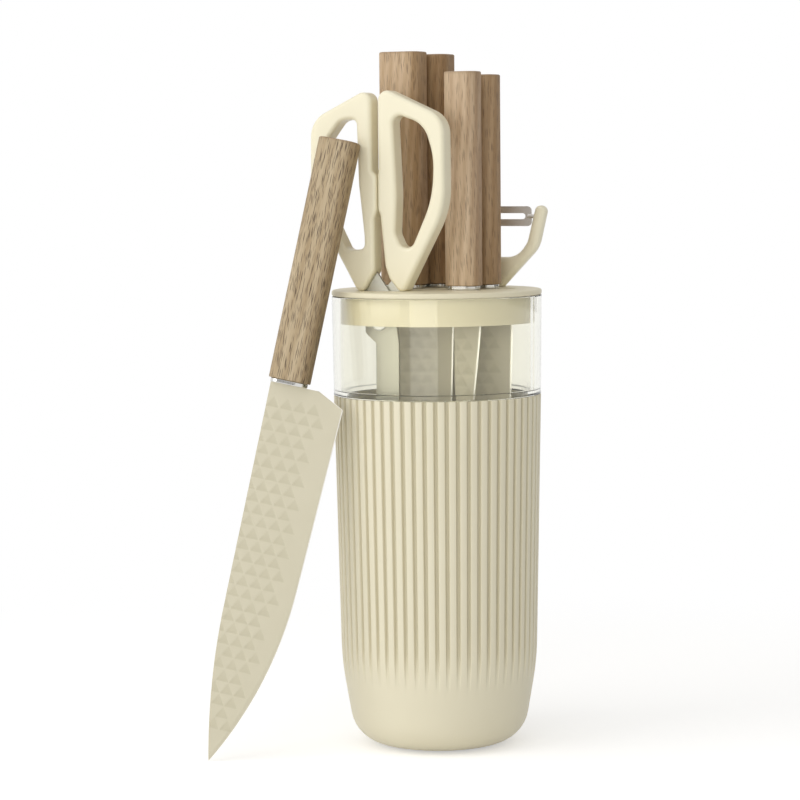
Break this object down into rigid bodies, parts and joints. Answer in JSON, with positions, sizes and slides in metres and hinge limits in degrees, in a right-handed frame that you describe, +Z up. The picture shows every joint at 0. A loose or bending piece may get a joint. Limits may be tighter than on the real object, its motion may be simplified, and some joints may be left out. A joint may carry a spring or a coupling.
{
  "type": "knife block with knives",
  "caption": "Round ribbed knife block with a clear collar and slotted lid, holding wooden-handled knives, scissors and a peeler, with one knife leaning beside it.",
  "frame": {"origin": "on the table, under the middle of the block", "axes": "+Z up; +X along the lid's slots, from the backs of the blades to their cutting edges; the scissors and the leaning knife are on the -Y side"},
  "size_m": [0.1447, 0.1516, 0.3679],
  "materials": {
    "cream_plastic": "satin moulded plastic",
    "cream_grip": "smooth moulded plastic",
    "clear_plastic": "clear moulded plastic",
    "coated_blade": "cream non-stick coating with a pressed pattern",
    "polished_steel": "polished stainless steel",
    "scissors_steel": "fine ground stainless steel",
    "beech_wood": "oiled pale wood with short dark pores",
    "silicone_foot": "matte silicone"
  },
  "bodies": {
    "holder": {"foot_ring": "silicone_foot", "cup": "cream_plastic", "collar": "clear_plastic"},
    "lid": {"lid": "cream_plastic"},
    "scissors_pivot": {"scissors_screw": "polished_steel", "scissors_nut": "polished_steel"},
    "scissors_right": {"scissors_blade_back": "scissors_steel", "scissors_grip_right": "cream_grip"},
    "scissors_left": {"scissors_blade_front": "scissors_steel", "scissors_grip_left": "cream_grip"},
    "peeler": {"peeler_yoke": "cream_grip"},
    "peeler_blade": {"peeler_blade": "polished_steel"},
    "santoku_knife": {"santoku_blade": "coated_blade", "santoku_bolster": "polished_steel", "santoku_handle": "beech_wood"},
    "slicing_knife": {"slicing_blade": "coated_blade", "slicing_bolster": "polished_steel", "slicing_handle": "beech_wood"},
    "paring_knife": {"paring_blade": "coated_blade", "paring_bolster": "polished_steel", "paring_handle": "beech_wood"},
    "utility_knife": {"utility_blade": "coated_blade", "utility_bolster": "polished_steel", "utility_handle": "beech_wood"},
    "chef_knife": {"chef_blade": "coated_blade", "chef_bolster": "polished_steel", "chef_handle": "beech_wood"}
  },
  "joints": [
    {"name": "lid_lift", "type": "slide", "parent": "holder", "child": "lid", "axis": [0, 0, 1], "range_m": [0, 0.016]},
    {"name": "santoku_lift", "type": "slide", "parent": "lid", "child": "santoku_knife", "axis": [0, 0, 1], "range_m": [0, 0.2]},
    {"name": "slicing_lift", "type": "slide", "parent": "lid", "child": "slicing_knife", "axis": [0, 0, 1], "range_m": [0, 0.22]},
    {"name": "paring_lift", "type": "slide", "parent": "lid", "child": "paring_knife", "axis": [0, 0, 1], "range_m": [0, 0.11]},
    {"name": "utility_lift", "type": "slide", "parent": "lid", "child": "utility_knife", "axis": [0, 0, 1], "range_m": [0, 0.15]},
    {"name": "peeler_lift", "type": "slide", "parent": "lid", "child": "peeler", "axis": [0, 0, 1], "range_m": [0, 0.115]},
    {"name": "peeler_blade_swivel", "type": "hinge", "parent": "peeler", "child": "peeler_blade", "pos_m": [0.014, 0.0367, 0.2803], "axis": [1, 0, 0], "range_deg": [-25, 25]},
    {"name": "scissors_lift", "type": "slide", "parent": "lid", "child": "scissors_pivot", "axis": [0, 0, 1], "range_m": [0, 0.3]},
    {"name": "scissors_right_open", "type": "hinge", "parent": "scissors_pivot", "child": "scissors_right", "pos_m": [-0.0197, -0.026, 0.2265], "axis": [0, 1, 0], "range_deg": [0, 17.5]},
    {"name": "scissors_left_open", "type": "hinge", "parent": "scissors_pivot", "child": "scissors_left", "pos_m": [-0.0197, -0.026, 0.2265], "axis": [0, -1, 0], "range_deg": [0, 17.5]},
    {"name": "chef_lift", "type": "slide", "parent": "holder", "child": "chef_knife", "axis": [0, 0, 1], "range_m": [0, 0.25]}
  ],
  "couplings": [
    {"joint": "scissors_right_open", "follows": "scissors_lift", "rad_per_m": 1.0181},
    {"joint": "scissors_left_open", "follows": "scissors_lift", "rad_per_m": 1.0181}
  ]
}
